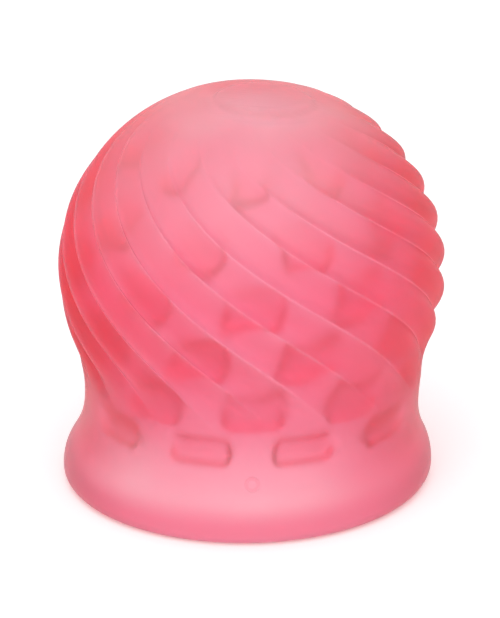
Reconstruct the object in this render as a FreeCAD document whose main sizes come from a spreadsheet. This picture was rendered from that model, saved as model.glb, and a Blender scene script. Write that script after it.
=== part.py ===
import FreeCAD, Part
import Sketcher
import math
import os

# Silicone cupping cup: one soft moulding, mouth down on its sealing lip.
# A flared rim and a narrow waist carry a dome with swirled lobes outside and
# rows of rounded massage pads inside.  The moulding is divided at the lines
# where it flexes when the crown is pressed down to drive the air out.
# Frame: +Z up through the dome, origin at the centre of the mouth, on the
# plane that the lip seals against.  Millimetres.

DOC = FreeCAD.newDocument("cupping_cup")
VECTOR = FreeCAD.Vector
START, END, CENTRE = 1, 2, 3
ORIGIN = (-1, 1)
VERTICAL_AXIS = -2

# Driving sizes, in millimetres and degrees.  Text is a size that follows from others.
SIZES = {
    # overall shape
    "dome_radius": 35.9,        # over the crests of the lobes
    "dome_height": 41.5,        # height of the dome's centre
    "dome_flattening": 1.4,     # how much lower than a ball its upper half is
    "dome_rise": "dome_radius - dome_flattening",
    "waist_inset": 4.6,         # how much narrower the waist is than the dome
    "waist_radius": "dome_radius - waist_inset",
    "waist_height": 15.2,
    "lip_flare": 3.4,           # how much wider the lip is than the waist
    "lip_radius": "waist_radius + lip_flare",
    "lip_height": 2.6,          # top of the lip's rounded bead
    "flare_round": 9.5,         # outward curve above the lip
    # walls
    "wall_thickness": 5.4,      # dome, at a crest
    "waist_wall": 4.3,
    "mouth_flare": 2.7,         # how much wider the mouth is than the inside of the waist
    "mouth_radius": "waist_radius - waist_wall + mouth_flare",
    "lip_outer_round": 2.4,
    "lip_inner_round": 1.2,
    # lobes
    "lobe_count": 18,
    "lobe_depth": 2.1,          # crest to valley
    "lobe_phase": -0.3,         # angle of one valley at the reference height
    "twist_height": 39.9,       # reference height of the twist
    "twist_rate": 2.22,         # degrees per millimetre there
    "twist_gain": 0.0225,       # added degrees per millimetre, per millimetre
    "lobe_fade_in": 14.0,       # height over which the lobes rise from nothing
    "lobe_fade_out": 17.0,      # height over which they die into the crown
    # division of the wall
    "wall_start": 19.5,
    "wall_end": 62.0,
    "flex_gap": 0.1,
    # crown
    "disc_radius": 9.6,
    "disc_thickness": 1.6,
    "disc_seat": 1.0,
    "dish_radius": 60.0,
    "dish_depth": 0.5,
    # massage pads
    "pad_count": 9,
    "pad_height": 2.2,          # how far a pad stands in from the wall
    "pad_corner": 1.5,
    "pad_gap": 0.1,             # between a moving row and the wall
    "rim_row_drop": 3.9,        # row 1, below the start of the flexing wall
    "first_row_rise": 4.5,      # row 2, above it
    "last_row_drop": 7.5,       # row 5, below the end of the flexing wall
    "crown_row_rise": 2.6,      # row 6, above it
    "row_pitch": "(wall_end - last_row_drop - wall_start - first_row_rise) / 3",
    "row_gap": 3.4,             # between one row in the flexing wall and the next
    "row_tall": "row_pitch - row_gap",
    "even_row_angle": 10.0,
    "odd_row_angle": "even_row_angle + 180 / pad_count",
}

# Rows of pads from the mouth up: middle height, tall, wide, staggered angle.
PAD_ROWS = {
    "pad_row_1": {"middle": "wall_start - rim_row_drop", "tall": 5.2, "wide": 10.8,
                  "angle": "even_row_angle"},
    "pad_row_2": {"middle": "wall_start + first_row_rise", "tall": "row_tall", "wide": 10.4,
                  "angle": "odd_row_angle"},
    "pad_row_3": {"middle": "pad_row_2_middle + row_pitch", "tall": "row_tall", "wide": 10.4,
                  "angle": "even_row_angle"},
    "pad_row_4": {"middle": "pad_row_3_middle + row_pitch", "tall": "row_tall", "wide": 10.4,
                  "angle": "odd_row_angle"},
    "pad_row_5": {"middle": "wall_end - last_row_drop", "tall": "row_tall", "wide": 8.8,
                  "angle": "even_row_angle"},
    "pad_row_6": {"middle": "wall_end + crown_row_rise", "tall": 5.0, "wide": 5.4,
                  "angle": "odd_row_angle"},
}

# Rows that sit in the flexing wall and move on their own when it is pressed.
MOVING_ROWS = ("pad_row_2", "pad_row_3", "pad_row_4", "pad_row_5")

SHEET = DOC.addObject("Spreadsheet::Sheet", "sizes")


def fill_sheet():
    """Write every driving size to the sheet, one named cell each."""
    named = dict(SIZES)
    for row, sizes in PAD_ROWS.items():
        for key in ("middle", "tall", "wide"):
            named[f"{row}_{key}"] = sizes[key]
    for line, (alias, value) in enumerate(named.items(), start=1):
        SHEET.set(f"A{line}", alias.replace("_", " "))
        SHEET.set(f"B{line}", f"={value}")
        SHEET.setAlias(f"B{line}", alias)
    DOC.recompute()


def size(alias):
    """Value of one named cell."""
    return float(getattr(SHEET, alias))


def cells(text):
    """Expression in which each $name stands for a cell of the sheet."""
    return text.replace("$", "sizes.")


def shoulder_radius(dome, waist):
    """Expression for the arc tangent to the dome and upright at the waist."""
    rise = "($dome_height - $waist_height)"
    return f"(({waist})^2 + {rise}^2 - ({dome})^2) / (2 * (({dome}) - ({waist})))"


def plain_value(expression):
    """Number that an expression of the sheet's cells works out to."""
    probe = DOC.addObject("Part::Box", "probe")
    probe.setExpression("Length", cells(expression))
    DOC.recompute()
    value = probe.Length.Value
    DOC.removeObject(probe.Name)
    return value


def origin_feature(body, role):
    """Plane or axis of a body's own origin."""
    return next(f for f in body.Origin.OriginFeatures if f.Role == role)


def start_body(name):
    """Body with an empty sketch on its upright XZ plane."""
    body = DOC.addObject("PartDesign::Body", name)
    sketch = body.newObject("Sketcher::SketchObject", f"{name}_profile")
    sketch.AttachmentSupport = [(origin_feature(body, "XZ_Plane"), "")]
    sketch.MapMode = "FlatFace"
    return body, sketch


def arc(sketch, centre, radius, start, end):
    """Arc drawn counter-clockwise between two angles in degrees."""
    circle = Part.Circle(VECTOR(*centre, 0), VECTOR(0, 0, 1), radius)
    return sketch.addGeometry(Part.ArcOfCircle(circle, math.radians(start), math.radians(end)))


def line(sketch, first, last):
    """Straight segment between two points."""
    return sketch.addGeometry(Part.LineSegment(VECTOR(*first, 0), VECTOR(*last, 0)))


def join(sketch, *pairs):
    """Make pairs of points coincide."""
    for first, second in pairs:
        sketch.addConstraint(Sketcher.Constraint("Coincident", *first, *second))


def level(sketch, *pairs):
    """Keep pairs of points at one height."""
    for first, second in pairs:
        sketch.addConstraint(Sketcher.Constraint("Horizontal", *first, *second))


def set_size(sketch, name, kind, where, expression):
    """Dimension whose value is an expression of the sheet's cells."""
    value = plain_value(expression)
    index = sketch.addConstraint(Sketcher.Constraint(kind, *where, value))
    sketch.renameConstraint(index, name)
    sketch.setExpression(f"Constraints.{name}", cells(expression))


def revolve(body, sketch, name):
    """Turn a profile about the cup's axis and make it the body's result."""
    turned = body.newObject("PartDesign::Revolution", f"{name}_turned")
    turned.Profile = sketch
    turned.ReferenceAxis = (sketch, ["V_Axis"])
    turned.Angle = 360
    body.Tip = turned
    DOC.recompute()
    return body


def sealing_lip():
    """Rounded bead round the mouth, which seals against the skin."""
    body = DOC.addObject("PartDesign::Body", "sealing_lip")
    sketch = body.newObject("Sketcher::SketchObject", "sealing_lip_profile")
    sketch.AttachmentSupport = [(origin_feature(body, "XY_Plane"), "")]
    sketch.MapMode = "FlatFace"
    for name, alias in (("outside", "lip_radius"), ("mouth", "mouth_radius")):
        ring = sketch.addGeometry(Part.Circle(VECTOR(0, 0, 0), VECTOR(0, 0, 1), size(alias)))
        join(sketch, ((ring, CENTRE), ORIGIN))
        set_size(sketch, name, "Radius", (ring,), f"${alias}")
    ring = body.newObject("PartDesign::Pad", "lip_ring")
    ring.Profile = sketch
    ring.setExpression("Length", cells("$lip_height"))
    DOC.recompute()
    rounded = ring
    for name, alias, radius in (
        ("lip_outer_bead", "lip_outer_round", "lip_radius"),
        ("lip_inner_bead", "lip_inner_round", "mouth_radius"),
    ):
        bead = body.newObject("PartDesign::Fillet", name)
        bead.Base = (rounded, [bottom_edge(rounded.Shape, size(radius))])
        bead.setExpression("Radius", cells(f"${alias}"))
        DOC.recompute()
        rounded = bead
    body.Tip = rounded
    return body


def bottom_edge(shape, radius):
    """Name of the round edge of that radius on the sealing plane."""
    for number, edge in enumerate(shape.Edges, start=1):
        box = edge.BoundBox
        if box.ZLength < 1e-6 and abs(box.ZMin) < 1e-6 and abs(box.XMax - radius) < 1e-3:
            return f"Edge{number}"
    raise ValueError(f"no bottom edge of radius {radius}")


def flare_angles():
    """Angle of the tangent point between the flare's two outer arcs, and their hollow radius."""
    run = size("lip_radius") - size("waist_radius")
    rise = size("waist_height") - size("lip_height")
    both = (run**2 + rise**2) / (2 * run)
    return math.degrees(math.asin(rise / both)), both - size("flare_round")


def mouth_arc():
    """Radius and sweep of the hollow arc from the waist's inside to the mouth."""
    run = size("mouth_radius") - size("waist_radius") + size("waist_wall")
    rise = size("waist_height") - size("lip_height")
    radius = (run**2 + rise**2) / (2 * run)
    return radius, math.degrees(math.asin(rise / radius))


def flared_rim():
    """Flare from the waist out to the lip."""
    body, sketch = start_body("flared_rim")
    lip, foot = size("lip_radius"), size("lip_height")
    waist, height = size("waist_radius"), size("waist_height")
    inside, mouth = waist - size("waist_wall"), size("mouth_radius")
    turn, hollow = flare_angles()
    inner_radius, inner_turn = mouth_arc()
    bulge = size("flare_round")
    low = arc(sketch, (lip - bulge, foot), bulge, 0, turn)
    high = arc(sketch, (waist + hollow, height), hollow, 180, 180 + turn)
    top = line(sketch, (waist, height), (inside, height))
    inner = arc(sketch, (inside + inner_radius, height), inner_radius, 180, 180 + inner_turn)
    base = line(sketch, (mouth, foot), (lip, foot))
    sketch.addConstraint(Sketcher.Constraint("Tangent", low, END, high, END))
    join(
        sketch,
        ((high, START), (top, START)),
        ((top, END), (inner, START)),
        ((inner, END), (base, START)),
        ((base, END), (low, START)),
    )
    level(
        sketch,
        ((low, CENTRE), (low, START)),
        ((high, CENTRE), (high, START)),
        ((inner, CENTRE), (inner, START)),
        ((top, START), (top, END)),
        ((base, START), (base, END)),
    )
    set_size(sketch, "lip_out", "DistanceX", (*ORIGIN, low, START), "$lip_radius")
    set_size(sketch, "lip_up", "DistanceY", (*ORIGIN, low, START), "$lip_height")
    set_size(sketch, "bulge", "Radius", (low,), "$flare_round")
    set_size(sketch, "waist_out", "DistanceX", (*ORIGIN, high, START), "$waist_radius")
    set_size(sketch, "waist_up", "DistanceY", (*ORIGIN, high, START), "$waist_height")
    set_size(sketch, "waist_in", "DistanceX", (*ORIGIN, inner, START), "$waist_radius - $waist_wall")
    set_size(sketch, "mouth_in", "DistanceX", (*ORIGIN, inner, END), "$mouth_radius")
    return revolve(body, sketch, "flared_rim")


def waist_band():
    """Plain narrow band between the flare and the lobed wall."""
    body, sketch = start_body("waist_band")
    dome, waist = "$dome_radius", "$waist_radius"
    inner_dome, inner_waist = "$dome_radius - $wall_thickness", "$waist_radius - $waist_wall"
    height, top_height = size("waist_height"), size("wall_start")
    arcs = []
    for dome_side, waist_side in ((dome, waist), (inner_dome, inner_waist)):
        radius = plain_value(shoulder_radius(dome_side, waist_side))
        turn = math.degrees(math.asin((top_height - height) / radius))
        start = plain_value(waist_side)
        arcs.append(arc(sketch, (start + radius, height), radius, 180 - turn, 180))
    outer, inner = arcs
    ends = [sketch.getPoint(which, where) for which, where in
            ((outer, START), (inner, START), (inner, END), (outer, END))]
    top = line(sketch, (ends[0].x, ends[0].y), (ends[1].x, ends[1].y))
    base = line(sketch, (ends[2].x, ends[2].y), (ends[3].x, ends[3].y))
    join(
        sketch,
        ((outer, START), (top, START)),
        ((top, END), (inner, START)),
        ((inner, END), (base, START)),
        ((base, END), (outer, END)),
    )
    level(
        sketch,
        ((outer, CENTRE), (outer, END)),
        ((inner, CENTRE), (inner, END)),
        ((top, START), (top, END)),
        ((base, START), (base, END)),
    )
    set_size(sketch, "waist_out", "DistanceX", (*ORIGIN, outer, END), waist)
    set_size(sketch, "waist_up", "DistanceY", (*ORIGIN, outer, END), "$waist_height")
    set_size(sketch, "outer_shoulder", "Radius", (outer,), shoulder_radius(dome, waist))
    set_size(sketch, "waist_in", "DistanceX", (*ORIGIN, inner, END), inner_waist)
    set_size(sketch, "inner_shoulder", "Radius", (inner,), shoulder_radius(inner_dome, inner_waist))
    set_size(sketch, "band_top", "DistanceY", (*ORIGIN, top, START), "$wall_start")
    return revolve(body, sketch, "waist_band")


def hollow(name, inset):
    """Solid of the space inside the cup, drawn in from the wall by an inset expression."""
    body, sketch = start_body(name)
    dome = f"$dome_radius - $wall_thickness - ({inset})"
    waist = f"$waist_radius - $waist_wall - ({inset})"
    mouth = f"$mouth_radius - ({inset})"
    dome_value, waist_value, mouth_value = (plain_value(text) for text in (dome, waist, mouth))
    centre, height, foot = size("dome_height"), size("waist_height"), size("lip_height")
    shoulder = plain_value(shoulder_radius(dome, waist))
    tangent = math.degrees(math.asin((centre - height) / (shoulder + dome_value)))
    run, rise = mouth_value - waist_value, height - foot
    flare = (run**2 + rise**2) / (2 * run)
    flare_turn = math.degrees(math.asin(rise / flare))
    ball = arc(sketch, (0, centre), dome_value, -tangent, 90)
    neck = arc(sketch, (waist_value + shoulder, height), shoulder, 180 - tangent, 180)
    skirt = arc(sketch, (waist_value + flare, height), flare, 180, 180 + flare_turn)
    base = line(sketch, (mouth_value, foot), (0, foot))
    axis = line(sketch, (0, foot), (0, centre + dome_value))
    sketch.addConstraint(Sketcher.Constraint("Tangent", ball, START, neck, START))
    join(
        sketch,
        ((neck, END), (skirt, START)),
        ((skirt, END), (base, START)),
        ((base, END), (axis, START)),
        ((axis, END), (ball, END)),
    )
    level(
        sketch,
        ((neck, CENTRE), (neck, END)),
        ((skirt, CENTRE), (skirt, START)),
        ((base, START), (base, END)),
    )
    for which, where in ((axis, START), (axis, END), (ball, CENTRE)):
        sketch.addConstraint(Sketcher.Constraint("PointOnObject", which, where, VERTICAL_AXIS))
    set_size(sketch, "ball_up", "DistanceY", (*ORIGIN, ball, CENTRE), "$dome_height")
    set_size(sketch, "ball", "Radius", (ball,), dome)
    set_size(sketch, "waist_in", "DistanceX", (*ORIGIN, neck, END), waist)
    set_size(sketch, "waist_up", "DistanceY", (*ORIGIN, neck, END), "$waist_height")
    set_size(sketch, "mouth_in", "DistanceX", (*ORIGIN, skirt, END), mouth)
    set_size(sketch, "foot_up", "DistanceY", (*ORIGIN, skirt, END), "$lip_height")
    return revolve(body, sketch, name)


def boolean(kind, name, base, tool):
    """Parametric cut or common of two objects."""
    result = DOC.addObject(f"Part::{kind}", name)
    result.Base = base
    result.Tool = tool
    return result


def cylinder(name, radius, height, up):
    """Upright cylinder on the axis, its sizes given as expressions."""
    drum = DOC.addObject("Part::Cylinder", name)
    drum.setExpression("Radius", cells(radius))
    drum.setExpression("Height", cells(height))
    drum.setExpression("Placement.Base.z", cells(up))
    return drum


def smooth_step(value):
    """Rise from 0 to 1 with level ends."""
    held = min(max(value, 0.0), 1.0)
    return held * held * (3 - 2 * held)


def crest_radius(height):
    """Radius over the crests at a height on the lobed wall."""
    dome, centre = size("dome_radius"), size("dome_height")
    waist, low = size("waist_radius"), size("waist_height")
    shoulder = plain_shoulder(dome, waist)
    tangent = centre + (low - centre) * dome / (dome + shoulder)
    if height >= centre:
        return dome * math.sqrt(1 - ((height - centre) / size("dome_rise")) ** 2)
    if height >= tangent:
        return math.sqrt(dome**2 - (height - centre) ** 2)
    return waist + shoulder - math.sqrt(shoulder**2 - (height - low) ** 2)


def plain_shoulder(dome, waist):
    """Radius of the hollow arc between waist and dome."""
    rise = size("dome_height") - size("waist_height")
    return (waist**2 + rise**2 - dome**2) / (2 * (dome - waist))


def lobe_depth(height, top):
    """Depth of the valleys at a height: nothing at the waist and at the crown."""
    rising = smooth_step((height - size("wall_start")) / size("lobe_fade_in"))
    falling = smooth_step((top - height) / size("lobe_fade_out"))
    return size("lobe_depth") * rising * falling


def valley_angle(height):
    """Angle in degrees of one valley: the swirl turns clockwise as it climbs."""
    rise = height - size("twist_height")
    return size("lobe_phase") - rise * (size("twist_rate") + size("twist_gain") * rise / 2)


def lobed_section(height, top):
    """Closed wire of round lobes that meet in sharp valleys."""
    crest = crest_radius(height)
    valley = crest - lobe_depth(height, top)
    count = int(size("lobe_count"))
    step = 2 * math.pi / count
    first = math.radians(valley_angle(height))

    def point(radius, angle):
        """Point of the section at a radius and an angle."""
        return VECTOR(radius * math.cos(angle), radius * math.sin(angle), height)

    lobes = []
    for number in range(count):
        angle = first + number * step
        lobe = Part.Arc(
            point(valley, angle), point(crest, angle + step / 2), point(valley, angle + step)
        )
        lobes.append(lobe.toShape())
    return Part.Wire(lobes)


def lobed_dome():
    """Solid dome with its swirled lobes, from the top of the waist band to the crown's seat."""
    dome, centre, low = size("dome_radius"), size("dome_height"), size("wall_start")
    top = centre + size("dome_rise") * math.sqrt(1 - (size("disc_radius") / dome) ** 2)
    section_count, loft_degree = 22, 5
    first = math.asin((low - centre) / dome)
    last = math.asin((top - centre) / dome)
    heights = [
        centre + dome * math.sin(first + (last - first) * number / section_count)
        for number in range(section_count + 1)
    ]
    heights[0], heights[-1] = low, top
    wires = [lobed_section(height, top) for height in heights]
    solid = DOC.addObject("Part::Feature", "lobed_dome")
    solid.Shape = Part.makeLoft(wires, True, False, False, loft_degree)
    return solid


def dome_pieces(cavity):
    """Lobed wall, crown cap and the thumb disc let into the crown."""
    dome_top = "$dome_height + $dome_rise * sqrt(1 - ($disc_radius / $dome_radius)^2)"
    shell = boolean("Cut", "dome_shell", lobed_dome(), cavity)
    reach = "$dome_radius * 2"
    wall_zone = cylinder("wall_zone", reach, "$wall_end - $wall_start", "$wall_start")
    crown_zone = cylinder("crown_zone", reach, "$dome_radius", "$wall_end + $flex_gap")
    wall = boolean("Common", "swirl_wall", shell, wall_zone)
    crown_shell = boolean("Common", "crown_shell", shell, crown_zone)
    seat = cylinder("disc_seat", "$disc_radius - $disc_seat", "$dome_radius",
                    f"{dome_top} - $disc_seat")
    crown = boolean("Cut", "crown_cap", crown_shell, seat)
    blank = cylinder("disc_blank", "$disc_radius - $disc_seat", "$disc_thickness",
                     f"{dome_top} - $disc_seat")
    dish = DOC.addObject("Part::Sphere", "disc_dish")
    dish.setExpression("Radius", cells("$dish_radius"))
    dish.setExpression("Placement.Base.z", cells(
        f"{dome_top} - $disc_seat + $disc_thickness - $dish_depth + $dish_radius"))
    disc = boolean("Cut", "thumb_disc", blank, dish)
    return [wall, crown, disc]


def pad_blocks(row, angle):
    """Ring of rounded blocks that point outwards from the axis, before they meet the wall."""
    body = DOC.addObject("PartDesign::Body", f"{row}_blocks")
    sketch = body.newObject("Sketcher::SketchObject", f"{row}_face")
    sketch.AttachmentSupport = [(origin_feature(body, "YZ_Plane"), "")]
    sketch.MapMode = "FlatFace"
    wide, tall = size(f"{row}_wide"), size(f"{row}_tall")
    low = size(f"{row}_middle") - tall / 2
    corners = [(-wide / 2, low), (wide / 2, low), (wide / 2, low + tall), (-wide / 2, low + tall)]
    sides = [line(sketch, corners[n], corners[(n + 1) % 4]) for n in range(4)]
    join(sketch, *(((sides[n], END), (sides[(n + 1) % 4], START)) for n in range(4)))
    sketch.addConstraint(
        Sketcher.Constraint("Symmetric", sides[0], START, sides[0], END, VERTICAL_AXIS))
    for side, kind in zip(sides[1:], ("Vertical", "Horizontal", "Vertical")):
        sketch.addConstraint(Sketcher.Constraint(kind, side))
    set_size(sketch, "wide", "DistanceX", (sides[0], START, sides[0], END), f"${row}_wide")
    set_size(sketch, "tall", "DistanceY", (sides[1], START, sides[1], END), f"${row}_tall")
    set_size(sketch, "low", "DistanceY", (*ORIGIN, sides[0], START),
             f"${row}_middle - ${row}_tall / 2")
    block = body.newObject("PartDesign::Pad", f"{row}_block")
    block.Profile = sketch
    block.setExpression("Length", cells("$dome_radius"))
    DOC.recompute()
    rounded = body.newObject("PartDesign::Fillet", f"{row}_rounded")
    long_edges = [
        f"Edge{number}"
        for number, edge in enumerate(block.Shape.Edges, start=1)
        if edge.BoundBox.XLength > size("dome_radius") / 2
    ]
    rounded.Base = (block, long_edges)
    rounded.setExpression("Radius", cells("$pad_corner"))
    DOC.recompute()
    ring = body.newObject("PartDesign::PolarPattern", f"{row}_ring")
    ring.Originals = [block, rounded]
    ring.Axis = (origin_feature(body, "Z_Axis"), [""])
    ring.Angle = 360
    ring.setExpression("Occurrences", cells("$pad_count"))
    body.Tip = ring
    body.Placement = FreeCAD.Placement(VECTOR(0, 0, 0), VECTOR(0, 0, 1), size(angle))
    body.setExpression("Placement.Rotation.Angle", cells(f"${angle}"))
    DOC.recompute()
    return body


def pad_rows(cavity):
    """Rows of massage pads on the inside of the wall."""
    inner = hollow("pad_faces", "$pad_height")
    cleared = hollow("cleared_cavity", "$pad_gap")
    fixed_shell = boolean("Cut", "fixed_pad_shell", cavity, inner)
    moving_shell = boolean("Cut", "moving_pad_shell", cleared, inner)
    rows = []
    for row, sizes in PAD_ROWS.items():
        shell = moving_shell if row in MOVING_ROWS else fixed_shell
        rows.append(boolean("Common", row, pad_blocks(row, sizes["angle"]), shell))
    return rows


def check(pieces):
    """Stop if any object failed or any piece is empty or broken."""
    for thing in DOC.Objects:
        if "Invalid" in thing.State or "Error" in thing.State:
            raise RuntimeError(f"{thing.Label} failed: {thing.State}")
    for piece in pieces:
        if piece.Shape.isNull() or not piece.Shape.isValid() or not piece.Shape.Solids:
            raise RuntimeError(f"{piece.Label} has no valid solid")


def main():
    """Build the cup and write one file for each piece."""
    fill_sheet()
    pieces = [sealing_lip(), flared_rim(), waist_band()]
    cavity = hollow("cavity", "0")
    pieces += dome_pieces(cavity)
    pieces += pad_rows(cavity)
    DOC.recompute()
    for piece in pieces:
        piece.Label = piece.Name
    check(pieces)
    os.makedirs("parts", exist_ok=True)
    for piece in pieces:
        shape = piece.Shape
        shape.exportStep(f"parts/{piece.Label}.step")
        print(f"{piece.Label}: {len(shape.Solids)} solids, {shape.Volume:.0f} mm3")


main()
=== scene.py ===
"""Looks of a soft silicone cupping cup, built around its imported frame."""
import logging
import math
from dataclasses import dataclass, field
from typing import Any, Mapping, Optional, Sequence, Union

import bpy
import numpy as np
from mathutils import Matrix, Vector


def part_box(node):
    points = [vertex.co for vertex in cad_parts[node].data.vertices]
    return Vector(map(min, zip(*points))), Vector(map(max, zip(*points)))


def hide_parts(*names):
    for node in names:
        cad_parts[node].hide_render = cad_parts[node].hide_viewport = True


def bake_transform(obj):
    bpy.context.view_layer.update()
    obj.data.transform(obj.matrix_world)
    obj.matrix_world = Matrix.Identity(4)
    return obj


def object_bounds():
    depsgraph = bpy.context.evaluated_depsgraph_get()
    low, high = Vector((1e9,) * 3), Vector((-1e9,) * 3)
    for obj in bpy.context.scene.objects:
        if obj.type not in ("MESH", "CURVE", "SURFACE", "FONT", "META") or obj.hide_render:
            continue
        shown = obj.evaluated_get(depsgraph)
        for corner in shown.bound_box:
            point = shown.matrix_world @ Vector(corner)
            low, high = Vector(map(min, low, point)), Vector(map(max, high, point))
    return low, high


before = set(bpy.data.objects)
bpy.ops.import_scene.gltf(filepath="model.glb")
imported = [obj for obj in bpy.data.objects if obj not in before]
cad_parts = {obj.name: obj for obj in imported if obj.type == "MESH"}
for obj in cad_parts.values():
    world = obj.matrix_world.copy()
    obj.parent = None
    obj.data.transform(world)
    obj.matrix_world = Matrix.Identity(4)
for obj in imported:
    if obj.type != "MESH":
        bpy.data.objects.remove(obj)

MM = 0.001
MIX_SHARE, MIX_FIRST, MIX_SECOND, MIX_COLOUR = 0, 6, 7, 2
LOG = logging.getLogger("cup")

Pair = tuple[float, float]
Triple = tuple[float, float, float]


def as_lists(corners: Sequence[Sequence[float]]) -> list[list[float]]:
    """Corners of a box as plain lists of numbers."""
    return [[float(value) for value in corner] for corner in corners]


CAD_BOX = as_lists(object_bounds())


# ---------------------------------------------------------------- shader maths


class Wire:
    """One output socket of a node tree; Python's operators on it add Math nodes."""

    def __init__(self, graph: "Graph", socket: bpy.types.NodeSocket) -> None:
        """Keep the tree and the socket.

        Args:
            graph: tree that the socket belongs to.
            socket: output that carries a value, a vector or a colour.
        """
        self.graph = graph
        self.socket = socket

    def _maths(self, operation: str, *values: "Number") -> "Wire":
        """Result of one Math node."""
        return self.graph.add("ShaderNodeMath", {"operation": operation}, dict(enumerate(values)))

    def __add__(self, other: "Number") -> "Wire":
        """Sum."""
        return self._maths("ADD", self, other)

    __radd__ = __add__

    def __sub__(self, other: "Number") -> "Wire":
        """Difference."""
        return self._maths("SUBTRACT", self, other)

    def __rsub__(self, other: "Number") -> "Wire":
        """Difference from a number."""
        return self._maths("SUBTRACT", other, self)

    def __mul__(self, other: "Number") -> "Wire":
        """Product."""
        return self._maths("MULTIPLY", self, other)

    __rmul__ = __mul__

    def __truediv__(self, other: "Number") -> "Wire":
        """Quotient."""
        return self._maths("DIVIDE", self, other)

    def clamped(self) -> "Wire":
        """Value held between 0 and 1."""
        return self.graph.add("ShaderNodeClamp", {}, {"Value": self})

    def scaled(self, other: "Vector3") -> "Wire":
        """Vector multiplied by a vector, part by part."""
        return self.graph.add(
            "ShaderNodeVectorMath", {"operation": "MULTIPLY"}, {0: self, 1: other}
        )


Number = Union[Wire, float]
Vector3 = Union[Wire, Sequence[float]]


class Graph:
    """Node tree of one material."""

    def __init__(self, name: str) -> None:
        """Start an empty tree.

        Args:
            name: name of the material.
        """
        self.material = bpy.data.materials.new(name)
        self.material.use_nodes = True
        self.tree = self.material.node_tree
        self.tree.nodes.clear()
        self.output = self.tree.nodes.new("ShaderNodeOutputMaterial")

    def add(
        self,
        kind: str,
        settings: Mapping[str, Any],
        inputs: Mapping[Union[int, str], Any],
        output: Union[int, str] = 0,
    ) -> Wire:
        """Add a node.

        Args:
            kind: Blender's name for the type of node.
            settings: properties of the node, set first.
            inputs: value or wire of each socket, by name or number.
            output: the output that the result carries.

        Returns:
            Wire of that output.
        """
        node = self.tree.nodes.new(kind)
        for name, value in settings.items():
            setattr(node, name, value)
        for key, value in inputs.items():
            self.feed(node.inputs[key], value)
        return Wire(self, node.outputs[output])

    def feed(self, socket: bpy.types.NodeSocket, value: Any) -> None:
        """Link a wire to a socket, or set the socket's own value.

        Args:
            socket: the input to feed.
            value: a wire, or a value of the socket's own kind.
        """
        if isinstance(value, Wire):
            self.tree.links.new(value.socket, socket)
        else:
            socket.default_value = value

    def mixed(self, share: Number, first: Vector3, second: Vector3) -> Wire:
        """Colour between two colours.

        Args:
            share: 0 for the first, 1 for the second.
            first: a colour or a wire of one.
            second: a colour or a wire of one.

        Returns:
            Wire of the mixed colour.
        """
        ends = [end if isinstance(end, Wire) else (*end, 1.0) for end in (first, second)]
        inputs = {MIX_SHARE: share, MIX_FIRST: ends[0], MIX_SECOND: ends[1]}
        return self.add("ShaderNodeMix", {"data_type": "RGBA"}, inputs, MIX_COLOUR)

    def attribute(self, name: str) -> Wire:
        """Number that the mesh stores at each vertex under a name."""
        return self.add("ShaderNodeAttribute", {"attribute_name": name}, {}, "Fac")

    def place(self) -> Wire:
        """Position on the object, in metres."""
        return self.add("ShaderNodeTexCoord", {}, {}, "Object")

    def noise(self, where: Wire, scale: float, detail: float = 2.0) -> Wire:
        """Soft noise from 0 to 1, with so many bumps to a metre."""
        return self.add(
            "ShaderNodeTexNoise", {}, {"Vector": where, "Scale": scale, "Detail": detail}
        )

    def finish(self, surface: Wire, volume: Optional[Wire] = None) -> bpy.types.Material:
        """Close the tree.

        Args:
            surface: the surface's shader.
            volume: the shader of what is inside, if anything.

        Returns:
            The finished material.
        """
        self.feed(self.output.inputs["Surface"], surface)
        if volume is not None:
            self.feed(self.output.inputs["Volume"], volume)
        return self.material


# -------------------------------------------------------------------- finishes


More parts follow.
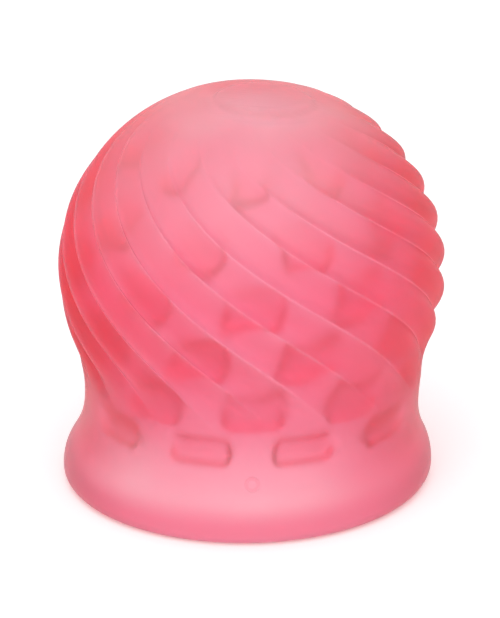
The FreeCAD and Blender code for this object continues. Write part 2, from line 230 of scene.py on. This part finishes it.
@dataclass(frozen=True)
class SiliconeFinish:
    """Translucent pink silicone: clear and tinted inside, satin outside, with a faint milky layer
    that is raised in places as painted highlight and painted glow.
    """

    # colours
    pale: Triple = (1.0, 0.97, 0.98)
    deep: Triple = (1.0, 0.90, 0.94)
    # painted shade along the bottom of each pad inside the wall
    pad_shade_colour: Triple = (0.97, 0.10, 0.22)
    # inside of the wall
    tint: Triple = (1.0, 0.03, 0.34)
    density: float = 158.0
    index: float = 1.37
    # clouds, grain and streaks, in bumps to a metre
    cloud_scale: float = 70.0
    cloud_detail: float = 3.0
    grain_scale: float = 1600.0
    streak_scale: Triple = (50.0, 1500.0, 50.0)
    cloud_colour: float = 0.5
    # roughness
    satin: float = 0.58
    glossy: float = 0.42
    cloud_rough: float = 0.06
    grain_rough: float = 0.04
    # relief
    relief: float = 0.1 * MM
    grain: float = 0.05
    wrinkles: float = 1.2
    # milky layer: a faint real cloudiness, raised in places as painted highlight
    milky_sheen_colour: Triple = (1.0, 0.80, 0.86)
    milky_sheen_white: Triple = (1.0, 1.0, 1.0)
    milky_sheen_rough: float = 0.6
    milky_sheen_most: float = 0.17
    milky_sheen_least: float = 0.8
    milky_sheen_cloud: float = 0.4
    # ring that the mould leaves
    ring_place: Triple = (0.9 * MM, -32.2 * MM, 11.3 * MM)
    ring_radius: float = 1.15 * MM
    ring_line: float = 0.35 * MM
    ring_depth: float = 1.5
    ring_strength: float = 0.6
    ring_colour: Triple = (1.0, 0.55, 0.66)

    def _ring(self, graph: Graph, where: Wire) -> Wire:
        """Mask of the small ring on the flare.

        Args:
            graph: tree to add to.
            where: position on the cup.

        Returns:
            1 on the ring's line, 0 away from it.
        """
        sockets = {0: where, 1: self.ring_place}
        away = graph.add("ShaderNodeVectorMath", {"operation": "DISTANCE"}, sockets, "Value")
        offset = (away - self.ring_radius) / self.ring_line
        return (1.0 - offset * offset).clamped()

    def _colour(self, graph: Graph, cloud: Wire, ring: Wire) -> Wire:
        """Colour of the clear surface.

        Args:
            graph: tree to add to.
            cloud: soft noise.
            ring: mask of the ring.

        Returns:
            Paler where the wall is thin, deeper on the ring, and darkened as painted shade along
            the bottom of each pad.
        """
        share = (graph.attribute("wall_share") + self.cloud_colour * (cloud - 0.5)).clamped()
        colour = graph.mixed(share, self.pale, self.deep)
        colour = graph.mixed(ring * self.ring_strength, colour, self.ring_colour)
        # painted shade along the bottom of the pads
        return graph.mixed(graph.attribute("pad_shade_share"), colour, self.pad_shade_colour)

    def _relief(self, graph: Graph, where: Wire, fine: Wire, ring: Wire) -> Wire:
        """Grain, the crown's wrinkles and the ring's groove.

        Args:
            graph: tree to add to.
            where: position on the cup.
            fine: fine noise.
            ring: mask of the ring.

        Returns:
            The bumped normal.
        """
        streaks = graph.noise(where.scaled(self.streak_scale), 1.0)
        wrinkles = streaks * graph.attribute("crown_share") * self.wrinkles
        height = fine * self.grain + wrinkles - ring * self.ring_depth
        return graph.add("ShaderNodeBump", {}, {"Height": height, "Distance": self.relief})

    def material(self) -> bpy.types.Material:
        """Build the material.

        Returns:
            The silicone, with its tint inside.
        """
        graph = Graph("silicone_skin")
        where = graph.place()
        cloud = graph.noise(where, self.cloud_scale, self.cloud_detail)
        fine = graph.noise(where, self.grain_scale)
        ring = self._ring(graph, where)
        bump = self._relief(graph, where, fine, ring)
        rough = self.satin + (self.glossy - self.satin) * graph.attribute("smooth_share")
        rough = rough + (cloud - 0.5) * self.cloud_rough + (fine - 0.5) * self.grain_rough
        clear = graph.add(
            "ShaderNodeBsdfPrincipled",
            {},
            {
                "Base Color": self._colour(graph, cloud, ring),
                "Roughness": rough,
                "IOR": self.index,
                "Transmission Weight": 1.0,
                "Normal": bump,
            },
        )
        # milky white layer over the clear silicone: a faint real cloudiness, raised in places as
        # painted highlight and painted glow
        milky_sheen = graph.add(
            "ShaderNodeBsdfPrincipled",
            {},
            {
                "Base Color": graph.mixed(cloud, self.milky_sheen_colour, self.milky_sheen_white),
                "Roughness": self.milky_sheen_rough,
                "Normal": bump,
            },
        )
        # share of the milky layer from the mesh, where it paints highlight and glow, broken into
        # soft patches
        patches = self.milky_sheen_least + cloud * self.milky_sheen_cloud
        milky_sheen_mix = graph.attribute("milky_sheen_share") * patches * self.milky_sheen_most
        skin = graph.add("ShaderNodeMixShader", {}, {0: milky_sheen_mix, 1: clear, 2: milky_sheen})
        inside = {"Color": (*self.tint, 1.0), "Density": self.density}
        return graph.finish(skin, graph.add("ShaderNodeVolumeAbsorption", {}, inside))


@dataclass(frozen=True)
class FloorFinish:
    """Plain pale studio floor, lit a little from below."""

    colour: Triple = (0.97, 0.97, 0.97)
    rough: float = 0.9
    shine: float = 0.1
    glow: float = 0.22

    def material(self) -> bpy.types.Material:
        """Build the material.

        Returns:
            Matt paint of one pale colour.
        """
        graph = Graph("studio_floor")
        paint = graph.add(
            "ShaderNodeBsdfPrincipled",
            {},
            {
                "Base Color": (*self.colour, 1.0),
                "Roughness": self.rough,
                "Specular IOR Level": self.shine,
                "Emission Color": (*self.colour, 1.0),
                "Emission Strength": self.glow,
            },
        )
        return graph.finish(paint)


# -------------------------------------------------------------------- geometry


def smooth_step(value: np.ndarray) -> np.ndarray:
    """Rise from 0 to 1 with level ends."""
    held = np.clip(value, 0.0, 1.0)
    return held * held * (3 - 2 * held)


def eased(value: np.ndarray, span: Pair) -> np.ndarray:
    """Rise from 0 at the start of a span to 1 at its end, with level ends."""
    return smooth_step((value - span[0]) / (span[1] - span[0]))


def arc(centre: Pair, radius: float, start: float, end: float, step: float) -> np.ndarray:
    """Points along an arc.

    Args:
        centre: radius and height of the arc's centre.
        radius: radius of the arc.
        start: first angle, in degrees.
        end: last angle, in degrees.
        step: longest distance between points.

    Returns:
        Array of (radius, height), both ends included.
    """
    count = max(2, math.ceil(abs(math.radians(end - start)) * radius / step) + 1)
    angles = np.radians(np.linspace(start, end, count))
    return np.stack([centre[0] + radius * np.cos(angles), centre[1] + radius * np.sin(angles)], 1)


def joined(*runs: np.ndarray) -> np.ndarray:
    """Runs of points end to end.

    Args:
        runs: arrays of (radius, height), each starting where the last one ends or beyond.

    Returns:
        One array, without the points that two runs share.
    """
    same = 0.001 * MM
    points = [runs[0]] + [
        run[1:] if np.linalg.norm(run[0] - last[-1]) < same else run
        for last, run in zip(runs, runs[1:])
    ]
    return np.concatenate(points)


@dataclass
class CupOutline:
    """Turned outline of the wall, inside and out, in metres."""

    dome_radius: float = 35.9 * MM
    dome_rise: float = 34.5 * MM
    dome_height: float = 41.5 * MM
    waist_radius: float = 31.3 * MM
    waist_height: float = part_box("flared_rim")[1].z
    lip_radius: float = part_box("sealing_lip")[1].x
    lip_height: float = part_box("sealing_lip")[1].z
    flare_round: float = 9.5 * MM
    wall: float = 5.4 * MM
    waist_wall: float = 4.3 * MM
    mouth_radius: float = 29.7 * MM
    outer_bead: float = 2.4 * MM
    inner_bead: float = 1.2 * MM
    flat_height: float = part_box("crown_cap")[1].z - 0.4 * MM
    disc_radius: float = 8.9 * MM
    disc_rise: float = 0.7 * MM
    disc_edge: float = 1.4 * MM
    disc_dish: float = 0.7 * MM
    moat_depth: float = 0.5 * MM
    moat_width: float = 2.2 * MM
    disc_shift: float = 2.6 * MM
    crown_tilt: float = 0.06
    crown_soft: float = 0.6 * MM
    crown_reach: float = 21.0 * MM
    step: float = 0.75 * MM
    crown_step: float = 0.45 * MM

    def shoulder(self, dome: float, waist: float) -> float:
        """Radius of the hollow arc that is upright at the waist and tangent to the dome.

        Args:
            dome: radius of the dome, outside or inside.
            waist: radius of the waist on the same face.

        Returns:
            Radius of the arc.
        """
        rise = self.dome_height - self.waist_height
        return (waist**2 + rise**2 - dome**2) / (2 * (dome - waist))

    def crown_height(self, x: np.ndarray, y: np.ndarray) -> np.ndarray:
        """Height of the crown: a slightly tilted flat with a soft raised disc.

        Args:
            x: distance of each point to the right of the axis.
            y: its distance behind the axis.

        Returns:
            Height of each point.
        """
        radius = np.hypot(x, y)
        dome = self.dome_height + self.dome_rise * np.sqrt(1 - (radius / self.dome_radius) ** 2)
        flat = self.flat_height - self.crown_tilt * x
        height = dome - self.crown_soft * np.logaddexp(0.0, (dome - flat) / self.crown_soft)
        out = np.hypot(x - self.disc_shift, y)
        lift = smooth_step((self.disc_radius + self.disc_edge / 2 - out) / self.disc_edge)
        dish = self.disc_dish * np.clip(1 - (out / self.disc_radius) ** 2, 0, 1)
        beyond = (out - self.disc_radius - self.disc_edge) / self.moat_width
        return height + self.disc_rise * lift - dish - self.moat_depth * np.exp(-(beyond**2))

    def crown(self) -> np.ndarray:
        """Crown from the axis out, through its middle."""
        radius = np.linspace(0.0, self.crown_reach, math.ceil(self.crown_reach / self.crown_step))
        return np.stack([radius, self.crown_height(np.zeros_like(radius), radius)], 1)

    def raised(self, points: np.ndarray) -> np.ndarray:
        """Points of the dome's round upper half, flattened to its true rise."""
        share = self.dome_rise / self.dome_radius
        return (points - (0, self.dome_height)) * (1, share) + (0, self.dome_height)

    def outside(self) -> np.ndarray:
        """Outline of the outer face.

        Returns:
            Array of (radius, height) from the crown's centre down to the flat of the lip.
        """
        dome, waist = self.dome_radius, self.waist_radius
        shoulder = self.shoulder(dome, waist)
        rise = self.dome_height - self.waist_height
        tangent = math.degrees(math.asin(rise / (shoulder + dome)))
        start = math.degrees(math.acos(self.crown_reach / dome))
        run, drop = self.lip_radius - waist, self.waist_height - self.lip_height
        both = (run**2 + drop**2) / (2 * run)
        hollow = both - self.flare_round
        turn = math.degrees(math.asin(drop / both))
        bead, fine = self.outer_bead, self.step / 2
        return joined(
            self.crown(),
            self.raised(arc((0, self.dome_height), dome, start, 0, self.step)),
            arc((0, self.dome_height), dome, 0, -tangent, self.step),
            arc((waist + shoulder, self.waist_height), shoulder, 180 - tangent, 180, self.step),
            arc((waist + hollow, self.waist_height), hollow, 180, 180 + turn, self.step),
            arc((self.lip_radius - self.flare_round, self.lip_height), self.flare_round, turn, 0,
                self.step),
            arc((self.lip_radius - bead, bead), bead, 0, -90, fine),
        )

    def inside(self) -> np.ndarray:
        """Outline of the inner face.

        Returns:
            Array of (radius, height) from the flat of the lip up to the dome's centre.
        """
        dome, waist = self.dome_radius - self.wall, self.waist_radius - self.waist_wall
        shoulder = self.shoulder(dome, waist)
        rise = self.dome_height - self.waist_height
        tangent = math.degrees(math.asin(rise / (shoulder + dome)))
        run, drop = self.mouth_radius - waist, self.waist_height - self.lip_height
        flare = (run**2 + drop**2) / (2 * run)
        turn = math.degrees(math.asin(drop / flare))
        bead = self.inner_bead
        return joined(
            arc((self.mouth_radius + bead, bead), bead, -90, -180, self.step / 2),
            arc((waist + flare, self.waist_height), flare, 180 + turn, 180, self.step),
            arc((waist + shoulder, self.waist_height), shoulder, 180, 180 - tangent, self.step),
            arc((0, self.dome_height), dome, -tangent, 90, self.step),
        )


@dataclass
class LobeSwirl:
    """Round lobes that meet in sharp valleys and wind up the dome as a left-handed screw."""

    start: float
    top: float
    count: int = 18
    depth: float = 2.1 * MM
    phase: float = -0.3
    reference: float = 39.9 * MM
    rate: float = 2.22 / MM
    gain: float = 0.0225 / MM**2
    fade_in: float = 14.0 * MM
    fade_out: float = 17.0 * MM
    straight: float = 6.0 * MM
    samples: int = 2000
    columns: int = 18
    crowding: float = 0.5
    valley_round: float = 0.02

    def valley_angle(self, height: np.ndarray) -> np.ndarray:
        """Angle of one valley: it hangs straight below the lobes and winds up the dome.

        Args:
            height: heights to give it at.

        Returns:
            Angle at each height, in degrees.
        """
        fine = np.linspace(0.0, self.top, self.samples)
        rate = self.rate + self.gain * (fine - self.reference)
        rate = rate * eased(fine, (self.start - self.straight, self.start + self.straight))
        turned = np.concatenate([[0.0], np.cumsum((rate[1:] + rate[:-1]) / 2 * np.diff(fine))])
        turned -= np.interp(self.reference, fine, turned)
        return self.phase - np.interp(height, fine, turned)

    def depth_at(self, height: np.ndarray) -> np.ndarray:
        """Depth of the valleys.

        Args:
            height: heights to give it at.

        Returns:
            Depth at each height, nothing where the lobes have died out.
        """
        rising = smooth_step((height - self.start) / self.fade_in)
        falling = smooth_step((self.top - height) / self.fade_out)
        return self.depth * rising * falling

    def shares(self) -> np.ndarray:
        """Places of the mesh's columns as shares of one lobe, crowded towards its valleys."""
        even = np.arange(self.columns) / self.columns
        return even - self.crowding * np.sin(2 * math.pi * even) / (2 * math.pi)

    def columns_about(self) -> tuple[np.ndarray, np.ndarray]:
        """Columns all the way round.

        Returns:
            Angle of each column from the first valley in degrees, and how near it is to a
            valley, from 0 on a crest to 1.
        """
        shares = np.tile(self.shares(), self.count)
        lobe = np.repeat(np.arange(self.count), self.columns)
        aside = np.hypot(np.minimum(shares, 1 - shares), self.valley_round)
        return (lobe + shares) * 360 / self.count, np.clip(1 - 2 * aside, 0, 1) ** 2


@dataclass(frozen=True)
class PadRow:
    """One row of pads: its middle height, its pads' size and its first pad's angle."""

    middle: float
    tall: float
    wide: float
    first: float


@dataclass
class MassagePads:
    """Rounded pads on the inside of the wall, in staggered rows."""

    rows: Sequence[PadRow]
    count: int = 9
    height: float = 2.2 * MM
    corner: float = 1.5 * MM
    edge: float = 0.35 * MM
    upper_edge: float = 1.3 * MM
    slope: float = 0.5
    # width of the painted shade along the bottom of each pad, and where it fades out going up
    line: float = 0.8 * MM
    line_end: Pair = (0.2, 0.7)

    def standing(
        self, angle: np.ndarray, radius: np.ndarray, level: np.ndarray
    ) -> tuple[np.ndarray, np.ndarray]:
        """How far the pads stand in from the wall.

        Args:
            angle: angle of each point about the axis, in degrees.
            radius: its distance from the axis.
            level: its height.

        Returns:
            Distance for each point, nothing between the pads, and how near the point is to
            the lower edge of a pad, from 0 to 1, which is where painted shade goes.
        """
        pitch = 360 / self.count
        total = np.zeros_like(radius)
        pad_shade_rims = np.zeros_like(radius)
        for row in self.rows:
            turn = (angle - row.first + pitch / 2) % pitch - pitch / 2
            across = np.abs(np.radians(turn) * radius) - row.wide / 2 + self.corner
            along = np.abs(level - row.middle) - row.tall / 2 + self.corner
            outside = np.hypot(np.maximum(across, 0), np.maximum(along, 0))
            distance = outside + np.minimum(np.maximum(across, along), 0) - self.corner
            rising = smooth_step(0.5 + (level - row.middle) / row.tall)
            edge = self.edge + (self.upper_edge - self.edge) * rising
            pad = smooth_step(0.5 - distance / (2 * edge)) * (1 - self.slope * rising)
            total = np.maximum(total, pad)
            near = smooth_step(1 - np.abs(distance) / self.line)
            # painted shade along the bottom of each pad
            pad_shade_rims = np.maximum(pad_shade_rims, near * (1 - eased(rising, self.line_end)))
        return self.height * total, pad_shade_rims


@dataclass
class WallFace:
    """Points of one face of the wall, in rows by columns, with a number of each kind at each."""

    places: np.ndarray
    thick: np.ndarray
    # painted shade along the bottom of the pads
    edges: np.ndarray
    valleys: np.ndarray


@dataclass
class CupSkin:
    """The whole moulding as one closed skin: lobed outside, pads inside, rounded lip."""

    outline: CupOutline
    swirl: LobeSwirl
    pads: MassagePads
    # softness of the shape
    uneven: float = 0.10 * MM
    uneven_span: Pair = (1 * MM, 9 * MM)
    wave_length: float = 9 * MM
    waves: Sequence[tuple[Triple, float]] = (
        ((1.3, 0.0, 2.1), 0.4), ((0.0, 1.7, -1.1), 2.2), ((0.9, -1.4, 2.3), 1.0),
    )
    lean: float = 1.2 * MM
    lean_span: Pair = (1 * MM, 22 * MM)
    # what the material follows
    wall_span: Pair = (2.5 * MM, 7.5 * MM)
    glossy_fade: Pair = (16 * MM, 26 * MM)
    wrinkle_drop: float = 2 * MM
    wrinkle_fade: Pair = (4.4 * MM, 15.4 * MM)
    # milky layer: an even faint base, raised as painted highlight on the top, the front, the crown
    # and a band above the flare
    base_bloom: float = 0.20
    upward_span: Pair = (0.10, 0.95)
    side_sheen: float = 0.35
    front_turn: float = 0.25
    front_span: Pair = (0.10, 1.0)
    top_span: Pair = (62 * MM, 72 * MM)
    flare_band_sheen: float = 0.8
    band_front: Pair = (0.55, 1.0)
    band_rise: Pair = (3 * MM, 9 * MM)
    band_fall: Pair = (8 * MM, 22 * MM)
    crown_sheen: float = 0.35
    crown_span: Pair = (70 * MM, 74 * MM)
    # painted glow: the milky layer raised into bright lines along the valleys
    valley_glow: float = 0.45
    valley_power: int = 4
    replaced: Sequence[str] = field(default_factory=lambda: sorted(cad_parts))

    @staticmethod
    def _placed(radius: np.ndarray, angle: np.ndarray, level: np.ndarray) -> np.ndarray:
        """Points in space.

        Args:
            radius: distance of each point from the axis.
            angle: its angle about the axis, in degrees.
            level: its height.

        Returns:
            Array with x, y and z last.
        """
        turn = np.radians(angle)
        level = np.broadcast_to(level, turn.shape)
        return np.stack([radius * np.cos(turn), radius * np.sin(turn), level], -1)

    def _outer_face(self) -> WallFace:
        """Outer face, with its lobes and its crown.

        Returns:
            Its rows from the first one round the crown's centre down to the lip.
        """
        outline = self.outline
        turn, nearness = self.swirl.columns_about()
        outer = outline.outside()[1:]
        angle = self.swirl.valley_angle(outer[:, 1])[:, None] + turn[None, :]
        depth = self.swirl.depth_at(outer[:, 1])[:, None] * nearness[None, :]
        places = self._placed(outer[:, :1] - depth, angle, outer[:, 1:])
        top = (outer[:, 1] > outline.dome_height) & (outer[:, 0] < outline.crown_reach)
        even = self._placed(outer[top, :1], angle[top], outer[top, 1:])
        places[top, :, 2] = outline.crown_height(even[:, :, 0], even[:, :, 1])
        thick = self._thickness(outer, depth, angle)
        return WallFace(places, thick, np.zeros_like(depth), depth / self.swirl.depth)

    def _inner_face(self) -> WallFace:
        """Inner face, with its pads.

        Returns:
            Its rows from the lip up to the last one round the dome's centre.
        """
        turn, _ = self.swirl.columns_about()
        inner = self.outline.inside()[:-1]
        slope = np.gradient(inner, axis=0)
        normal = np.stack([-slope[:, 1], slope[:, 0]], 1)
        normal /= np.linalg.norm(normal, axis=1)[:, None]
        start = self.swirl.valley_angle(np.array([0.0]))[0]
        angle = np.broadcast_to(start + turn, (len(inner), len(turn)))
        radius = np.broadcast_to(inner[:, :1], angle.shape)
        level = np.broadcast_to(inner[:, 1:], angle.shape)
        stand, edges = self.pads.standing(angle, radius, level)
        places = self._placed(
            radius + normal[:, :1] * stand, angle, level + normal[:, 1:] * stand
        )
        return WallFace(places, self.outline.wall + stand, edges, np.zeros_like(stand))

    def _thickness(self, outer: np.ndarray, depth: np.ndarray, angle: np.ndarray) -> np.ndarray:
        """Thickness of the wall behind the outer face.

        Args:
            outer: outline of the outer face.
            depth: depth of the valley at each point.
            angle: angle of each point about the axis, in degrees.

        Returns:
            Thickness at each point, pads included.
        """
        inner = self.outline.inside()
        dome = self.outline.dome_radius - self.outline.wall
        level = np.broadcast_to(outer[:, 1:], depth.shape)
        behind = np.interp(outer[:, 1], inner[:, 1], inner[:, 0])
        stand, _ = self.pads.standing(angle, np.broadcast_to(behind[:, None], depth.shape), level)
        wall = np.where(
            outer[:, 1] > self.outline.dome_height,
            np.hypot(outer[:, 0], outer[:, 1] - self.outline.dome_height) - dome,
            outer[:, 0] - behind,
        )
        return wall[:, None] - depth + stand

    def _milky_sheen(self, face: WallFace) -> np.ndarray:
        """Share of the milky layer on the outer face, mostly painted highlight.

        Args:
            face: the outer face.

        Returns:
            Share at each point: painted highlight where it faces up and on the front, painted glow
                in the valleys.
        """
        outer = self.outline.outside()[1:]
        level = outer[:, 1:]
        slope = np.gradient(outer, axis=0)
        upward = (slope[:, 0] / np.linalg.norm(slope, axis=1))[:, None]
        x, y = face.places[:, :, 0], face.places[:, :, 1]
        ahead = (-y - self.front_turn * x) / np.maximum(np.hypot(x, y), MM)
        # painted highlight: more of the milky layer on the front than at the sides, and all round
        # near the top
        uneven = self.side_sheen + (1 - self.side_sheen) * eased(ahead, self.front_span)
        uneven = uneven + (1 - uneven) * eased(level, self.top_span)
        band = eased(level, self.band_rise) * (1 - eased(level, self.band_fall))
        share = eased(upward, self.upward_span) * uneven + self.base_bloom
        # painted highlight: a band on the front above the flare, and more round the crown
        share = share + self.flare_band_sheen * band * eased(ahead, self.band_front)
        share = share + self.crown_sheen * eased(level, self.crown_span)
        # painted glow along the valleys
        return share + self.valley_glow * face.valleys**self.valley_power

    def _wander(self, points: np.ndarray) -> np.ndarray:
        """Gentle unevenness of soft moulded walls.

        Args:
            points: array of points.

        Returns:
            Distance outwards at each point.
        """
        where = points / self.wave_length
        waves = sum(np.sin(where @ np.array(run) + start) for run, start in self.waves)
        return self.uneven * waves / len(self.waves)

    def _settled(self, rows: np.ndarray) -> np.ndarray:
        """Points after the soft wall has sagged a little.

        Args:
            rows: points of every row.

        Returns:
            Flat array of the points, uneven and leaning.
        """
        points = rows.reshape(-1, 3)
        outward = points * (1, 1, 0)
        outward = outward / np.maximum(np.linalg.norm(outward, axis=1), 0.001 * MM)[:, None]
        above = eased(points[:, 2], self.uneven_span) * self._wander(points)
        points = points + outward * above[:, None]
        points[:, 0] += self.lean * eased(points[:, 2], self.lean_span)
        return points

    @staticmethod
    def _faces(rows: int, columns: int) -> list[tuple[int, ...]]:
        """Quads between the rows, and a fan of triangles at each pole.

        Args:
            rows: how many rows the mesh has.
            columns: how many points each row has.

        Returns:
            Each face as the numbers of its points; the poles come after the rows.
        """
        row, column = np.meshgrid(np.arange(rows - 1), np.arange(columns), indexing="ij")
        after = (column + 1) % columns
        here, below = row * columns, (row + 1) * columns
        corners = [here + column, below + column, below + after, here + after]
        quads = np.stack(corners, -1).reshape(-1, 4)
        faces = [tuple(quad) for quad in quads.tolist()]
        top, bottom, last = rows * columns, rows * columns + 1, (rows - 1) * columns
        for number in range(columns):
            following = (number + 1) % columns
            faces.append((top, number, following))
            faces.append((bottom, last + following, last + number))
        return faces

    def _mesh(self, rows: np.ndarray) -> bpy.types.Mesh:
        """Closed mesh through the rows.

        Args:
            rows: points of every row, outside and then inside.

        Returns:
            The smooth mesh.
        """
        crown, ceiling = self.outline.outside()[0], self.outline.inside()[-1]
        poles = [(self.lean, 0.0, crown[1]), (self.lean, 0.0, ceiling[1])]
        places = np.concatenate([self._settled(rows), poles]).tolist()
        mesh = bpy.data.meshes.new("cup_skin")
        mesh.from_pydata(places, [], self._faces(*rows.shape[:2]))
        mesh.shade_smooth()
        return mesh

    @staticmethod
    def _store(mesh: bpy.types.Mesh, name: str, values: np.ndarray) -> None:
        """Keep one number for each point of the mesh.

        Args:
            mesh: mesh to keep them on.
            name: name that the material reads them by.
            values: numbers in rows by columns; each pole takes its nearest row's.
        """
        flat = values.reshape(-1)
        whole = np.append(flat, [flat[0], flat[-1]]).astype(np.float32)
        mesh.attributes.new(name, "FLOAT", "POINT").data.foreach_set("value", whole)

    def _dress(self, mesh: bpy.types.Mesh, rows: np.ndarray, faces: Sequence[WallFace]) -> None:
        """Keep on the mesh what its material follows.

        Args:
            mesh: mesh of the skin.
            rows: points of every row, before it settles.
            faces: the outer face and the inner one.
        """
        outer, inner = faces
        level = rows[:, :, 2]
        low, high = self.wall_span
        thick = np.concatenate([outer.thick, inner.thick])
        reach = np.hypot(rows[:, :, 0] - self.outline.disc_shift, rows[:, :, 1])
        crown = (level > self.outline.flat_height - self.wrinkle_drop).astype(float)
        milky_sheen = np.concatenate([self._milky_sheen(outer), np.zeros_like(inner.thick)])
        self._store(mesh, "wall_share", np.clip((thick - low) / (high - low), 0, 1))
        # painted shade along the bottom of the pads
        self._store(mesh, "pad_shade_share", np.concatenate([outer.edges, inner.edges]))
        self._store(mesh, "crown_share", crown * (1 - eased(reach, self.wrinkle_fade)))
        # share of the milky layer, mostly painted highlight and painted glow
        self._store(mesh, "milky_sheen_share", milky_sheen)
        self._store(mesh, "smooth_share", 1 - eased(level, self.glossy_fade))

    def build(self, finish: SiliconeFinish) -> bpy.types.Object:
        """Make the skin, dress it and hide the frame's parts that it replaces.

        Args:
            finish: the silicone.

        Returns:
            The skin's object.
        """
        faces = (self._outer_face(), self._inner_face())
        rows = np.concatenate([face.places for face in faces])
        mesh = self._mesh(rows)
        self._dress(mesh, rows, faces)
        mesh.materials.append(finish.material())
        skin = bpy.data.objects.new("cup_skin", mesh)
        bpy.context.scene.collection.objects.link(skin)
        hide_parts(*self.replaced)
        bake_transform(skin)
        return skin


# ---------------------------------------------------------------------- studio


@dataclass(frozen=True)
class SoftBox:
    """One square soft light: where it is, how wide and how bright."""

    name: str
    place: Triple
    width: float
    power: float


@dataclass
class Studio:
    """White surroundings, pale floor and soft lights."""

    middle: Vector
    surround: float = 0.83
    floor_half: float = 3.0
    boxes: Sequence[SoftBox] = (
        SoftBox("top_box", (-0.10, -0.65, 0.85), 0.9, 4.0),
    )

    def build(self, floor_finish: FloorFinish) -> None:
        """Make the floor, the surroundings and the lights.

        Args:
            floor_finish: paint of the floor.
        """
        self._world()
        self._floor(floor_finish)
        for box in self.boxes:
            self._light(box)

    def _world(self) -> None:
        """White light from all round."""
        world = bpy.data.worlds.new("studio_surround")
        world.use_nodes = True
        background = world.node_tree.nodes["Background"]
        background.inputs["Color"].default_value = (1, 1, 1, 1)
        background.inputs["Strength"].default_value = self.surround
        bpy.context.scene.world = world
        bpy.context.scene.view_settings.view_transform = "Standard"

    def _floor(self, finish: FloorFinish) -> None:
        """Flat floor under the lip.

        Args:
            finish: its paint.
        """
        half = self.floor_half
        corners = [(-half, -half, 0), (half, -half, 0), (half, half, 0), (-half, half, 0)]
        mesh = bpy.data.meshes.new("floor")
        mesh.from_pydata(corners, [], [(0, 1, 2, 3)])
        mesh.materials.append(finish.material())
        floor = bpy.data.objects.new("floor", mesh)
        bpy.context.scene.collection.objects.link(floor)

    def _light(self, box: SoftBox) -> None:
        """One square light, turned towards the middle of the cup.

        Args:
            box: where it is, how wide and how bright.
        """
        lamp = bpy.data.lights.new(box.name, "AREA")
        lamp.shape = "SQUARE"
        lamp.size = box.width
        lamp.energy = box.power
        light = bpy.data.objects.new(box.name, lamp)
        light.location = box.place
        aim = self.middle - Vector(box.place)
        light.rotation_euler = aim.to_track_quat("-Z", "Y").to_euler()
        bpy.context.scene.collection.objects.link(light)


@dataclass
class ViewCamera:
    """Camera a little above the cup, looking along +Y."""

    distance: float = 0.80
    elevation: float = 22.0
    width_seen: float = 93.2 * MM
    aim: Triple = (0.8 * MM, 0.0, 32.7 * MM)
    roll: float = -0.6
    clip_end: float = 20.0

    def build(self) -> bpy.types.Object:
        """Make the camera and use it.

        Returns:
            The camera's object.
        """
        data = bpy.data.cameras.new("view_camera")
        data.sensor_fit = "HORIZONTAL"
        data.lens = data.sensor_width * self.distance / self.width_seen
        data.clip_end = self.clip_end
        camera = bpy.data.objects.new("view_camera", data)
        rise = math.radians(self.elevation)
        target = Vector(self.aim)
        camera.location = target + self.distance * Vector((0, -math.cos(rise), math.sin(rise)))
        look = (target - camera.location).to_track_quat("-Z", "Y").to_matrix()
        turned = look @ Matrix.Rotation(math.radians(self.roll), 3, "Z")
        camera.rotation_euler = turned.to_euler()
        bpy.context.scene.collection.objects.link(camera)
        bpy.context.scene.camera = camera
        return camera


def main() -> None:
    """Build the cup, the studio and the camera."""
    logging.basicConfig(level=logging.INFO, format="%(name)s: %(message)s")
    outline = CupOutline()
    swirl = LobeSwirl(start=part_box("waist_band")[1].z, top=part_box("crown_cap")[1].z)
    pads = MassagePads(
        rows=(
            PadRow(15.6 * MM, 5.2 * MM, 10.8 * MM, 10.0),
            PadRow(24.0 * MM, 6.77 * MM, 10.4 * MM, 30.0),
            PadRow(34.17 * MM, 6.77 * MM, 10.4 * MM, 10.0),
            PadRow(44.33 * MM, 6.77 * MM, 10.4 * MM, 30.0),
            PadRow(54.5 * MM, 6.77 * MM, 8.8 * MM, 10.0),
            PadRow(64.6 * MM, 5.0 * MM, 5.4 * MM, 30.0),
        )
    )
    skin = CupSkin(outline, swirl, pads).build(SiliconeFinish())
    LOG.info("%s: %d points, %d faces", skin.name, len(skin.data.vertices), len(skin.data.polygons))
    studio = Studio(middle=Vector((0, 0, CAD_BOX[1][2] / 2)))
    studio.build(FloorFinish())
    LOG.info("studio: floor and %d soft light", len(studio.boxes))
    camera = ViewCamera().build()
    LOG.info("%s: %.0f mm lens", camera.name, camera.data.lens)


if __name__ == "__main__":
    main()
